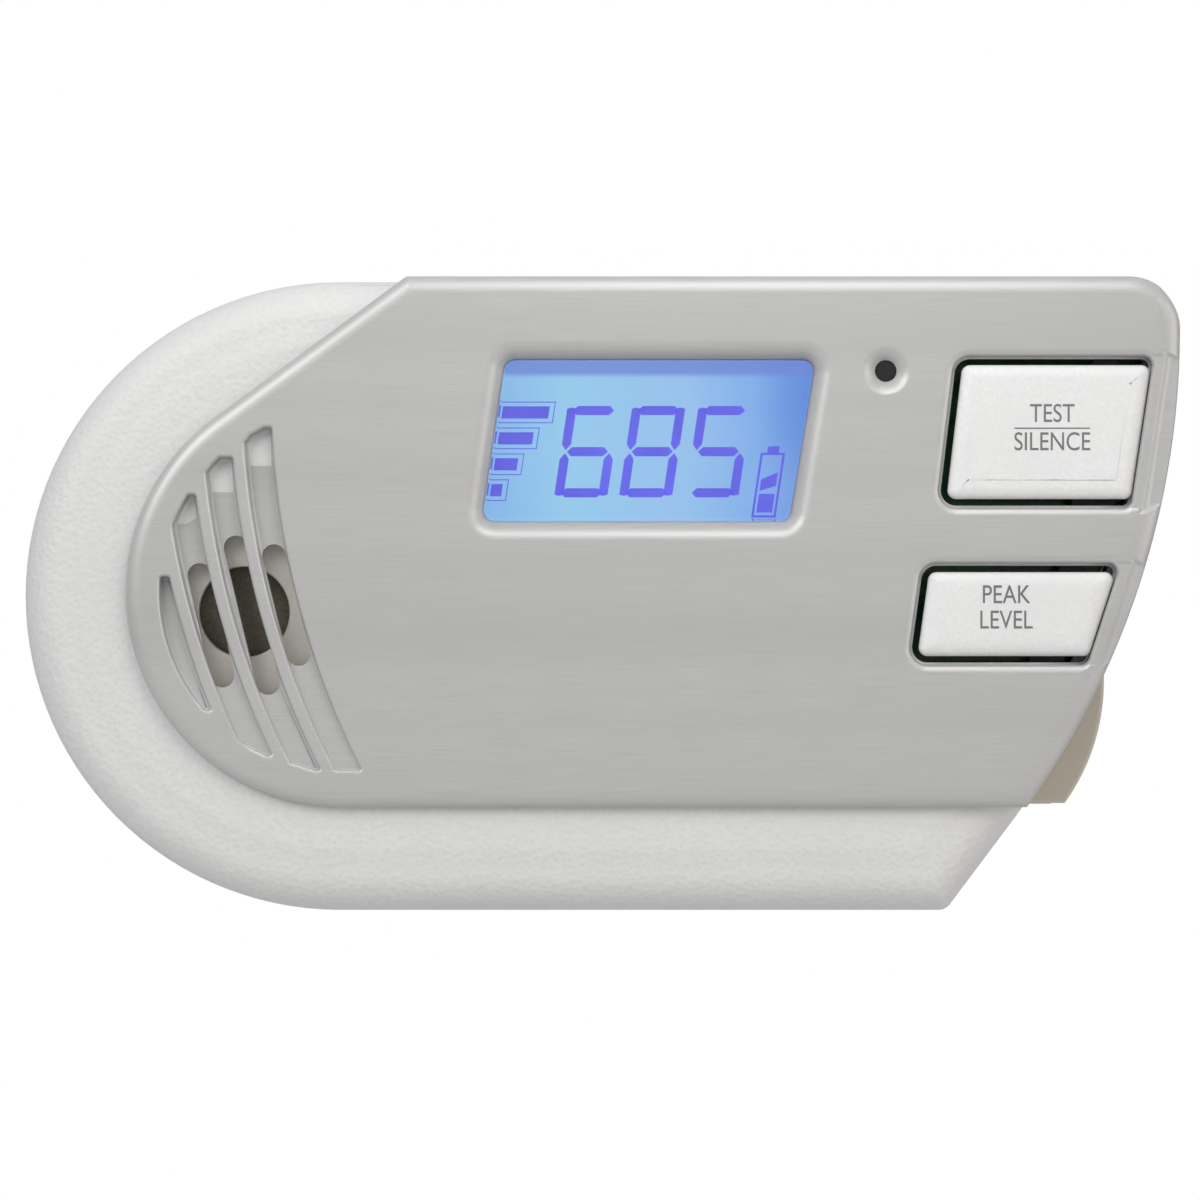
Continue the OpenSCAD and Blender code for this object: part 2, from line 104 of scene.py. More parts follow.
def inset(corners: Sequence[Corner], d: float) -> list[Corner]:
    """Moves an outline inwards.

    Args:
        corners: The outline.
        d: How far it moves; a negative distance makes it grow.

    Returns:
        The new outline, with its radii to match.
    """
    moved = []
    for i, (x, z, r) in enumerate(corners):
        before, here = Vector(corners[i - 1][:2]), Vector((x, z))
        after = Vector(corners[(i + 1) % len(corners)][:2])
        u, v = (here - before).normalized(), (after - here).normalized()
        u, v = Vector((-u.y, u.x)), Vector((-v.y, v.x))
        p = here + d * (u + v) / (1 + u.dot(v))
        moved.append((p.x, p.y, max(r - d, 0.15) if r > 0 else 0.0))
    return moved


def rounded(corners: Sequence[Corner], step: float = 7.5) -> list[Vector]:
    """Turns corners into points, with an arc at each corner that has a radius.

    Args:
        corners: The outline.
        step: The largest angle in degrees between an arc's points.

    Returns:
        The points as (x, z) vectors.
    """
    points = []
    for i, (x, z, r) in enumerate(corners):
        here = Vector((x, z))
        if r == 0:
            points.append(here)
            continue
        u = (Vector(corners[i - 1][:2]) - here).normalized()
        v = (Vector(corners[(i + 1) % len(corners)][:2]) - here).normalized()
        half = u.angle(v) / 2
        centre = here + (u + v).normalized() * r / math.sin(half)
        start, end = here + u * r / math.tan(half) - centre, here + v * r / math.tan(half) - centre
        first = math.atan2(start.y, start.x)
        turn = (math.atan2(end.y, end.x) - first + 3 * math.pi) % (2 * math.pi) - math.pi
        n = max(3, math.ceil((math.pi - 2 * half) / math.radians(step)))
        angles = [first + turn * k / n for k in range(n + 1)]
        points += [centre + r * Vector((math.cos(a), math.sin(a))) for a in angles]
    return points


def front_edge(y0: float, reach: float, drop: float, n: int = 6) -> list[tuple[float, float]]:
    """Profile of a rounded front edge.

    Args:
        y0: The face's level.
        reach: How far in from the outline the rounding starts.
        drop: How far back the rounding goes.
        n: How many steps it has.

    Returns:
        (inset, y) pairs from the face to the side.
    """
    turns = [math.pi / 2 * k / n for k in range(n + 1)]
    return [(reach * (1 - math.sin(t)), y0 + drop * (1 - math.cos(t))) for t in turns]


# Mesh building


def new_object(name: str, bm: bmesh.types.BMesh) -> bpy.types.Object:
    """Makes a scene object out of a bmesh, and frees the bmesh."""
    mesh = bpy.data.meshes.new(name)
    bm.to_mesh(mesh)
    bm.free()
    obj = bpy.data.objects.new(name, mesh)
    bpy.context.scene.collection.objects.link(obj)
    return obj


def add_loft(bm: bmesh.types.BMesh, corners: Sequence[Corner], profile: Profile) -> None:
    """Adds a closed solid through one loop of an outline at each step of a profile.

    Args:
        bm: The bmesh that it goes into.
        corners: The outline.
        profile: (inset, y) pairs in millimetres, front to back.
    """
    loops = []
    for d, y in profile:
        verts = [bm.verts.new((p.x * MM, y * MM, p.y * MM)) for p in rounded(inset(corners, d))]
        loops.append([bm.edges.new((verts[i - 1], verts[i])) for i in range(len(verts))])
    made = []
    for a, b in zip(loops, loops[1:]):
        made += bmesh.ops.bridge_loops(bm, edges=a + b)["faces"]
    for end in (loops[0], loops[-1]):
        made += bmesh.ops.edgeloop_fill(bm, edges=end)["faces"]
    bmesh.ops.recalc_face_normals(bm, faces=made)


def loft(name: str, corners: Sequence[Corner], profile: Profile) -> bpy.types.Object:
    """Makes an object of one loft."""
    bm = bmesh.new()
    add_loft(bm, corners, profile)
    return new_object(name, bm)


def add_rod(bm: bmesh.types.BMesh, x: float, z: float, r: float, y0: float, y1: float) -> None:
    """Adds a round bar along Y from y0 to y1, with small chamfers."""
    c = min(0.15, r * 0.2)
    add_loft(bm, circle(x, z, r, 32), [(c, y0), (0, y0 + c), (0, y1 - c), (c, y1)])


def block(name: str, low: Sequence[float], high: Sequence[float]) -> bpy.types.Object:
    """Makes a box between two corners."""
    bm = bmesh.new()
    size = [(h - l) * MM for l, h in zip(low, high)]
    middle = Vector([(h + l) / 2 * MM for l, h in zip(low, high)])
    place = Matrix.Translation(middle) @ Matrix.Diagonal((*size, 1))
    bmesh.ops.create_cube(bm, size=1, matrix=place)
    return new_object(name, bm)


def cut(target: bpy.types.Object, tools: Sequence[bpy.types.Object],
        how: str = "DIFFERENCE") -> bpy.types.Object:
    """Cuts tools out of a target one by one, or adds them, and deletes the tools.

    Args:
        target: The piece.
        tools: The shapes to take away or to add.
        how: The boolean operation's name.

    Returns:
        The piece.
    """
    for tool in tools:
        modifier = target.modifiers.new("cut", "BOOLEAN")
        modifier.operation = how
        modifier.solver = "EXACT"
        modifier.object = tool
        depsgraph = bpy.context.evaluated_depsgraph_get()
        mesh = bpy.data.meshes.new_from_object(target.evaluated_get(depsgraph))
        target.modifiers.clear()
        target.data = mesh
        bpy.data.objects.remove(tool)
    return target


def bar(name: str, ends: Sequence[Sequence[float]], r: float) -> bpy.types.Object:
    """Makes a round bar of radius r between two points in millimetres."""
    a, b = (Vector(end) * MM for end in ends)
    place = Matrix.Translation((a + b) / 2) @ (b - a).to_track_quat("Z", "Y").to_matrix().to_4x4()
    bm = bmesh.new()
    bmesh.ops.create_cone(bm, cap_ends=True, segments=32, radius1=r * MM, radius2=r * MM,
                          depth=(b - a).length, matrix=place)
    return new_object(name, bm)


def refined(node: str, edge_mm: float) -> bpy.types.Object:
    """Copies a CAD node as one clean mesh with softened edges.

    Args:
        node: The CAD node's name.
        edge_mm: The width of the softened edges.

    Returns:
        The new object.
    """
    bm = bmesh.new()
    bm.from_mesh(frame["nodes"][node].data)
    bmesh.ops.remove_doubles(bm, verts=bm.verts, dist=2e-6)
    bmesh.ops.dissolve_limit(bm, angle_limit=math.radians(0.5), verts=bm.verts, edges=bm.edges)
    sharp = [e for e in bm.edges if e.is_manifold and e.calc_face_angle() > math.radians(38)]
    bmesh.ops.bevel(bm, geom=sharp, offset=edge_mm * MM, segments=2, profile=0.5, affect="EDGES",
                    material=-1, clamp_overlap=True)
    return new_object(node + "_shell", bm)


# Finishes


class Pattern(Enum):
    """What a finish's fine structure looks like."""

    GRAIN = "grain"
    PEBBLE = "pebble"
    BRUSHED = "brushed"
    LINES = "lines"


class Tree:
    """Builds one material's node tree."""

    def __init__(self, name: str) -> None:
        """Makes a material with a bare Principled shader."""
        self.material = bpy.data.materials.new(name)
        self.material.use_nodes = True
        self.nodes = self.material.node_tree.nodes
        self.shader = self.nodes["Principled BSDF"]

    def set(self, node: bpy.types.Node, **sockets: object) -> bpy.types.Node:
        """Sets or links a node's inputs, whose names have _ for a space."""
        for name, value in sockets.items():
            socket = node.inputs[name.replace("_", " ")]
            if isinstance(value, bpy.types.NodeSocket):
                self.material.node_tree.links.new(value, socket)
            else:
                socket.default_value = value
        return node

    def add(self, kind: str, **sockets: object) -> bpy.types.Node:
        """Adds a node and sets its inputs."""
        return self.set(self.nodes.new("ShaderNode" + kind), **sockets)

    def coordinates(self, stretch: Colour = (1, 1, 1)) -> bpy.types.NodeSocket:
        """The object's own coordinates, scaled along each axis."""
        place = self.add("TexCoord").outputs["Object"]
        return self.add("Mapping", Vector=place, Scale=stretch).outputs["Vector"]

    def ramp(self, value: bpy.types.NodeSocket,
             stops: Sequence[tuple[float, Colour]]) -> bpy.types.NodeSocket:
        """Colours a value through a ramp of (position, colour) stops."""
        node = self.add("ValToRGB", Fac=value)
        elements = node.color_ramp.elements
        while len(elements) < len(stops):
            elements.new(0.5)
        for element, (position, colour) in zip(elements, stops):
            element.position = position
            element.color = (*colour, 1)
        return node.outputs["Color"]

    def spread(self, value: bpy.types.NodeSocket, low: float, high: float) -> bpy.types.NodeSocket:
        """Maps a value from 0..1 to low..high."""
        return self.add("MapRange", Value=value, To_Min=low, To_Max=high).outputs["Result"]


@dataclass(frozen=True)
class Finish:
    """A moulded, painted, plated or drawn surface with a fine structure and slow colour changes."""

    name: str
    colour: Colour
    tint: Colour
    roughness: tuple[float, float] = (0.45, 0.6)
    metallic: float = 0.0
    pattern: Pattern = Pattern.GRAIN
    size_mm: float = 0.5
    bump: float = 0.2
    depth_mm: float = 0.03
    coat: float = 0.0
    glow: float = 0.0
    axis: Colour = (1, 1, 1)

    def material(self) -> bpy.types.Material:
        """The finish's material, made once."""
        if self.name in bpy.data.materials:
            return bpy.data.materials[self.name]
        tree = Tree(self.name)
        stretch = (0.012, 0.4, 1) if self.pattern is Pattern.BRUSHED else self.axis
        place = tree.coordinates(stretch)
        scale = 1 / (self.size_mm * MM)
        if self.pattern is Pattern.PEBBLE:
            fine = tree.add("TexVoronoi", Vector=place, Scale=scale)
            fine.feature = "SMOOTH_F1"
            height = fine.outputs["Distance"]
        elif self.pattern is Pattern.LINES:
            fine = tree.add("TexWave", Vector=place, Scale=scale / 6.3, Distortion=0.3)
            fine.bands_direction = "DIAGONAL"
            height = fine.outputs["Color"]
        else:
            height = tree.add("TexNoise", Vector=place, Scale=scale, Detail=5.0).outputs["Fac"]
        drift = (0.02, 0.4, 1) if self.pattern is Pattern.BRUSHED else (1, 1, 1)
        slow = tree.add("TexNoise", Vector=tree.coordinates(drift), Scale=70.0, Detail=3.0).outputs["Fac"]
        mixed = tree.add("Math", Value=height)
        mixed.operation = "MULTIPLY"
        tree.material.node_tree.links.new(slow, mixed.inputs[1])
        colour = tree.ramp(mixed.outputs["Value"], [(0.1, self.colour), (0.42, self.tint)])
        rough = tree.spread(height, *self.roughness)
        normal = tree.add("Bump", Strength=self.bump, Distance=self.depth_mm * MM, Height=height)
        tree.set(tree.shader, Base_Color=colour, Roughness=rough, Metallic=self.metallic,
                 Coat_Weight=self.coat, Normal=normal.outputs["Normal"],
                 Emission_Color=colour, Emission_Strength=self.glow)
        return tree.material


@dataclass(frozen=True)
class ClearFinish:
    """Clear moulded plastic with faint moulding waves."""

    name: str
    colour: Colour = (1, 1, 1)

    def material(self) -> bpy.types.Material:
        """The finish's material, made once."""
        if self.name in bpy.data.materials:
            return bpy.data.materials[self.name]
        tree = Tree(self.name)
        waves = tree.add("TexNoise", Vector=tree.coordinates(), Scale=60.0, Detail=1.0)
        normal = tree.add("Bump", Strength=0.02, Distance=0.1 * MM, Height=waves.outputs["Fac"])
        tree.set(tree.shader, Base_Color=(*self.colour, 1), Roughness=0.03, IOR=1.46,
                 Transmission_Weight=1.0, Normal=normal.outputs["Normal"])
        return tree.material


@dataclass(frozen=True)
class LitGlass:
    """The display's glass, lit blue from behind: pale in the middle, deeper at the ends, with a painted shade
    band along the top.
    """

    name: str
    left_mm: float
    right_mm: float

    def material(self) -> bpy.types.Material:
        """The finish's material."""
        tree = Tree(self.name)
        parts = tree.add("SeparateXYZ", Vector=tree.coordinates())
        along = tree.add("MapRange", Value=parts.outputs["X"], From_Min=self.left_mm * MM,
                         From_Max=self.right_mm * MM)
        colours = tree.ramp(along.outputs["Result"], [
            (0.0, (0.24, 0.50, 0.88)), (0.25, (0.33, 0.66, 0.92)), (0.62, (0.30, 0.58, 0.90)),
            (0.82, (0.20, 0.44, 0.88)), (0.97, (0.06, 0.21, 0.74))])
        # Painted shade: a darker blue band along the top of the glass, under the window's top edge.
        top_shade = tree.add("MapRange", Value=parts.outputs["Z"],
                      From_Min=30.3 * MM, From_Max=31.0 * MM, To_Max=0.85)
        cloud = tree.add("TexNoise", Vector=tree.coordinates(), Scale=40.0, Detail=3.0)
        patch = tree.add("MapRange", Value=cloud.outputs["Fac"], From_Min=0.45, From_Max=0.7, To_Max=0.3)
        clouded = tree.add("MixRGB", Fac=patch.outputs["Result"],
                           Color1=colours, Color2=(0.42, 0.62, 0.95, 1))
        mixed = tree.add("MixRGB", Fac=top_shade.outputs["Result"], Color1=clouded.outputs["Color"],
                         Color2=(0.16, 0.26, 0.74, 1))
        tree.set(tree.shader, Base_Color=(0.02, 0.04, 0.10, 1), Roughness=0.25,
                 Emission_Color=mixed.outputs["Color"], Emission_Strength=0.86)
        return tree.material


CASE_WHITE = Finish("case_white", (0.635, 0.635, 0.63), (0.665, 0.665, 0.66), (0.45, 0.62), 0, Pattern.PEBBLE,
                    0.7, 0.9, 0.12)
KEY_WHITE = Finish("key_white", (0.69, 0.69, 0.69), (0.74, 0.74, 0.74), (0.42, 0.55), 0, Pattern.PEBBLE,
                   0.5, 0.4, 0.05)
BRUSHED_SILVER = Finish("brushed_silver", (0.435, 0.435, 0.43), (0.525, 0.525, 0.52), (0.30, 0.46), 0.25,
                        Pattern.BRUSHED, 0.10, 0.22, 0.025)
# Painted shade: the drawer's darker warm beige stands for the shade and warm reflection on the cap behind the
# fascia's edge.
DRAWER_SHADE_BEIGE = Finish("beige_plastic", (0.43, 0.385, 0.275), (0.48, 0.435, 0.32), (0.45, 0.6), size_mm=0.6)
CHAMBER = Finish("chamber_plastic", (0.70, 0.665, 0.60), (0.76, 0.73, 0.67), (0.4, 0.55), size_mm=0.6)
MILKY = Finish("milky_plastic", (0.74, 0.80, 0.88), (0.80, 0.85, 0.92), (0.25, 0.35), size_mm=0.8)
INK = Finish("segment_ink", (0.07, 0.07, 0.50), (0.09, 0.09, 0.62), (0.3, 0.4),
             size_mm=6.0, bump=0.0, glow=0.8)
PRINT_GREY = Finish("print_grey", (0.14, 0.14, 0.14), (0.18, 0.18, 0.18), (0.5, 0.6), size_mm=0.2)
BRONZE = Finish("dull_bronze", (0.085, 0.075, 0.055), (0.19, 0.17, 0.13), (0.35, 0.55), 0.6,
                Pattern.GRAIN, 0.35, 0.3, 0.03)
NICKEL = Finish("nickel", (0.60, 0.58, 0.54), (0.70, 0.68, 0.64), (0.18, 0.34), 1.0, Pattern.BRUSHED,
                0.15, 0.1, 0.01)
STEEL = Finish("zinc_steel", (0.34, 0.34, 0.35), (0.46, 0.46, 0.47), (0.3, 0.45), 1.0, size_mm=0.25)
BLACK_PLASTIC_AND_GAP_SHADE = Finish("black_plastic", (0.018, 0.018, 0.018), (0.03, 0.03, 0.03), (0.35, 0.55), 0,
               Pattern.PEBBLE, 0.45, 0.25, 0.03)
GLOSS_BLACK = Finish("smoked_plastic", (0.006, 0.006, 0.007), (0.012, 0.012, 0.013), (0.08, 0.15), coat=0.5)
RUBBER = Finish("black_rubber", (0.02, 0.02, 0.022), (0.04, 0.04, 0.04), (0.6, 0.8), 0, Pattern.LINES, 0.25)
FOAM = Finish("closed_foam", (0.04, 0.04, 0.04), (0.09, 0.09, 0.09), (0.8, 0.95), 0, Pattern.PEBBLE, 0.3, 0.6)
RED_SLEEVE = Finish("red_sleeve", (0.42, 0.03, 0.02), (0.52, 0.05, 0.03), (0.3, 0.4))
SOLDER_MASK = Finish("solder_mask", (0.012, 0.11, 0.04), (0.04, 0.22, 0.09), (0.2, 0.4), 0,
                     Pattern.PEBBLE, 2.4, 0.4, 0.04, 0.4)
CERAMIC = Finish("fired_ceramic", (0.42, 0.31, 0.18), (0.54, 0.42, 0.27), (0.4, 0.5), size_mm=0.2)
SENSOR_CAN = Finish("drawn_can", (0.50, 0.50, 0.49), (0.62, 0.62, 0.60), (0.25, 0.4), 1.0,
                    Pattern.PEBBLE, 0.4, 0.3, 0.03)
IRON = Finish("stacked_iron", (0.16, 0.16, 0.17), (0.28, 0.28, 0.29), (0.35, 0.55), 0.9, Pattern.LINES,
              0.5, 0.5, 0.05, axis=(0, 1, 0))
TAPE = Finish("winding_tape", (0.66, 0.42, 0.05), (0.78, 0.55, 0.10), (0.2, 0.3), 0, Pattern.LINES,
              1.2, 0.3, 0.05, 0.5, axis=(0, 1, 0))
BLUE_SLEEVE = Finish("blue_sleeve", (0.02, 0.03, 0.14), (0.03, 0.05, 0.20), (0.2, 0.3), coat=0.3)
DIPPED_BLUE = Finish("dipped_blue", (0.02, 0.09, 0.34), (0.04, 0.14, 0.42), (0.2, 0.35), coat=0.4)
LED_RED = Finish("led_red", (0.35, 0.01, 0.01), (0.45, 0.02, 0.02), (0.1, 0.15), coat=0.5)
CELL_WRAP = Finish("cell_wrap", (0.10, 0.11, 0.12), (0.44, 0.31, 0.08), (0.22, 0.34), 0.5,
                   Pattern.LINES, 30.0, 0.02, 0.02, 0.4, axis=(1, 0, 0))
LABEL = Finish("blank_label", (0.78, 0.78, 0.76), (0.84, 0.84, 0.82), (0.35, 0.45), size_mm=0.3, bump=0.08)
LENS = ClearFinish("clear_lens")
GLASS_TUBE = ClearFinish("fuse_glass", (0.9, 0.95, 0.93))


def dress(obj: bpy.types.Object, finish: Finish | ClearFinish, body: str,
          replaced: Sequence[str] = (), sharp: float = 32) -> bpy.types.Object:
    """Shades, colours and attaches a new piece, and reports it.

    Args:
        obj: The piece.
        finish: Its finish.
        body: The body that it rides on.
        replaced: The CAD nodes that it stands for.
        sharp: The angle in degrees past which an edge stays sharp.

    Returns:
        The piece.
    """
    obj.data.shade_smooth()
    obj.data.set_sharp_from_angle(angle=math.radians(sharp))
    weighted = obj.modifiers.new("weighted", "WEIGHTED_NORMAL")
    weighted.keep_sharp = True
    obj.data.materials.clear()
    obj.data.materials.append(finish.material())
    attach(obj, body)
    if replaced:
        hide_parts(*replaced)
    log.info("%s: %d faces on %s", obj.name, len(obj.data.polygons), body)
    return obj


# Sub-assemblies


@dataclass
class Form:
    """Levels and outlines that the outer pieces share, in millimetres."""

    face: float = field(default_factory=lambda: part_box("fascia")[0].y / MM)
    plateau: float = field(default_factory=lambda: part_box("front_case")[0].y / MM)
    split: float = field(default_factory=lambda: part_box("rear_case")[0].y / MM)
    half_height: float = 43.75
    round_end_x: float = -36.3
    side_x: float = -33.0
    side_z: float = 36.7
    side_r: float = 113.2
    side_a: float = -36.87
    fascia_top: float = 44.2
    end_x: float = -35.8
    end_z: float = 0.6
    end_r: float = 29.8
    diagonal_a: float = 126.3
    cap_x: float = 41.6
    cap_z: float = -12.0
    cap_r: float = 29.5
    cap_low: float = -29.2
    cap_high: float = 2.3
    cap_left: float = 63.9
    cap_gap: float = 0.35
    wall: float = 2.2
    cavity_low: float = -41.55
    cavity_high: float = 40.0
    cavity_side: float = 4.2
    wrap_wall: float = 1.0
    bay_low: tuple[float, float, float] = (13.4, -21.4, -28.1)
    bay_high: tuple[float, float, float] = (63.6, -2.2, 1.2)

    def side(self, r: float, low: float, high: float, radii: tuple[float, float]) -> list[Corner]:
        """The bowed right side at radius r, from its lower corner to its upper one."""
        a = math.radians(self.side_a)
        x, z = self.side_x + r * math.cos(a), self.side_z + r * math.sin(a)
        return [(x + (z - low) * math.tan(a), low, radii[0]),
                *arc(self.side_x, self.side_z, r, self.side_a, 0, 24),
                (self.side_x + r, high, radii[1])]

    def case(self) -> list[Corner]:
        """The outline of both cases."""
        h = self.half_height
        return self.side(self.side_r, -h, h, (2, 6.9)) + arc(self.round_end_x, 0, h, 90, 270, 60)

    def cavity(self) -> list[Corner]:
        """The inside of the front case."""
        low, high = self.cavity_low, self.cavity_high
        return self.side(self.side_r - self.cavity_side, low, high, (1, 3)) + arc(
            self.round_end_x, (low + high) / 2, (high - low) / 2, 90, 270, 40)

    def wrap(self) -> list[Corner]:
        """What the fascia's walls enclose at the top and the right side."""
        r, top = self.side_r - self.wrap_wall, self.fascia_top - self.wrap_wall
        low = math.degrees(math.asin((self.end_z - self.end_r - 4 - self.side_z) / r))
        return arc(self.side_x, self.side_z, r, low, 0, 24) + [
            (self.side_x + r, top, 6), (-90, top, 0), (-90, -33, 0)]

    def cap(self) -> list[Corner]:
        """The outline of the battery drawer's cap."""
        x, z, r = self.cap_x, self.cap_z, self.cap_r
        low, high, left = self.cap_low, self.cap_high, self.cap_left
        start = math.degrees(math.asin((low - z) / r))
        reach = self.side_r + self.cap_gap
        meet = -math.degrees(math.acos((left - self.side_x) / reach))
        end = math.degrees(math.asin((low - self.side_z) / reach))
        return [*arc(x, z, r, start, 0, 16), (x + r, high, 0.8), (left, high, 0.3),
                *arc(self.side_x, self.side_z, reach, meet, end, 8)]

    def peak_x(self) -> float:
        """Where the fascia's diagonal edge meets its top edge."""
        a = math.radians(self.diagonal_a)
        x, z = self.end_x + self.end_r * math.cos(a), self.end_z + self.end_r * math.sin(a)
        return x - (self.fascia_top - z) * math.tan(a)

    def fascia(self) -> list[Corner]:
        """The fascia's outline."""
        low = math.degrees(math.asin((self.end_z - self.end_r - self.side_z) / self.side_r))
        return (arc(self.side_x, self.side_z, self.side_r, low, 0, 24)
                + [(self.side_x + self.side_r, self.fascia_top, 7), (self.peak_x(), self.fascia_top, 0.8)]
                + arc(self.end_x, self.end_z, self.end_r, self.diagonal_a, 270, 44))


WINDOW: list[Corner] = [(-16.4, 10.3, 1.6), (26.2, 10.3, 1.6), (29.9, 32.7, 1.6), (-13.1, 32.7, 1.6)]
TEST_KEY: list[Corner] = [(47.9, 13.4, 1.2), (73.4, 13.4, 1.2), (76.2, 31.9, 1.2), (50.1, 31.9, 1.2)]
PEAK_KEY: list[Corner] = [(43.9, -8.3, 1.2), (67.6, -8.3, 1.2), (71.4, 3.3, 1.2), (45.5, 3.3, 1.2)]
KEY_GAP = 1.2
KEY_END_GAP = 0.12
KEY_RAIL = 1.7
INDICATOR = (39.5, 31.1)
HORN = (-49.4, -2.2)


def key_opening(key: list[Corner]) -> list[Corner]:
    """A key's opening: a gap on three sides, and close to the key's right end."""
    grown = inset(key, -KEY_GAP)
    lean = Vector(key[2][:2]) - Vector(key[1][:2])
    back = (KEY_GAP - KEY_END_GAP) * lean.length / lean.y
    ends = [(x - back, z, 1.3) for x, z, _ in grown[1:3]]
    return [grown[0], *ends, grown[3]]


@dataclass
class FrontCase:
    """The white front case with its thick rounded rim."""

    form: Form
    rim: float = 5.5

    def build(self) -> None:
        """Makes the shell, its openings and the step that the fascia wraps over."""
        form, y = self.form, self.form.plateau
        ledge = [(self.rim + 3.6, y), (self.rim + 2.6, y + 0.05), (self.rim + 1.2, y + 0.3)]
        bullnose = front_edge(y + 0.36, self.rim, self.rim - 0.36, 12)
        shell = loft("front_case_shell", form.case(),
                     ledge + bullnose + [(0, form.split - 0.35), (0.3, form.split)])
        tools = [loft("cavity", form.cavity(), [
            (2.2, y + 2.2), (0.4, y + 3.7), (0, y + 5.2), (0, form.split + 1)])]
        for low, high in (((56, -60, -29.2), (95, -5, 60)), ((form.peak_x(), -60, 38.2), (95, -5, 60))):
            step = block("step", low, high)
            tools.append(cut(step, [loft("kept", form.wrap(), [(0, -70), (0, 0)])]))
        through = [(0, y - 9), (0, y + 4)]
        tools += [loft("opening", c, through) for c in (
            inset(WINDOW, -1.0), inset(key_opening(TEST_KEY), 0.3), inset(key_opening(PEAK_KEY), 0.3),
            circle(*HORN, 14.5), circle(*INDICATOR, 1.7))]
        dress(cut(shell, tools), CASE_WHITE, "housing", ["front_case"])


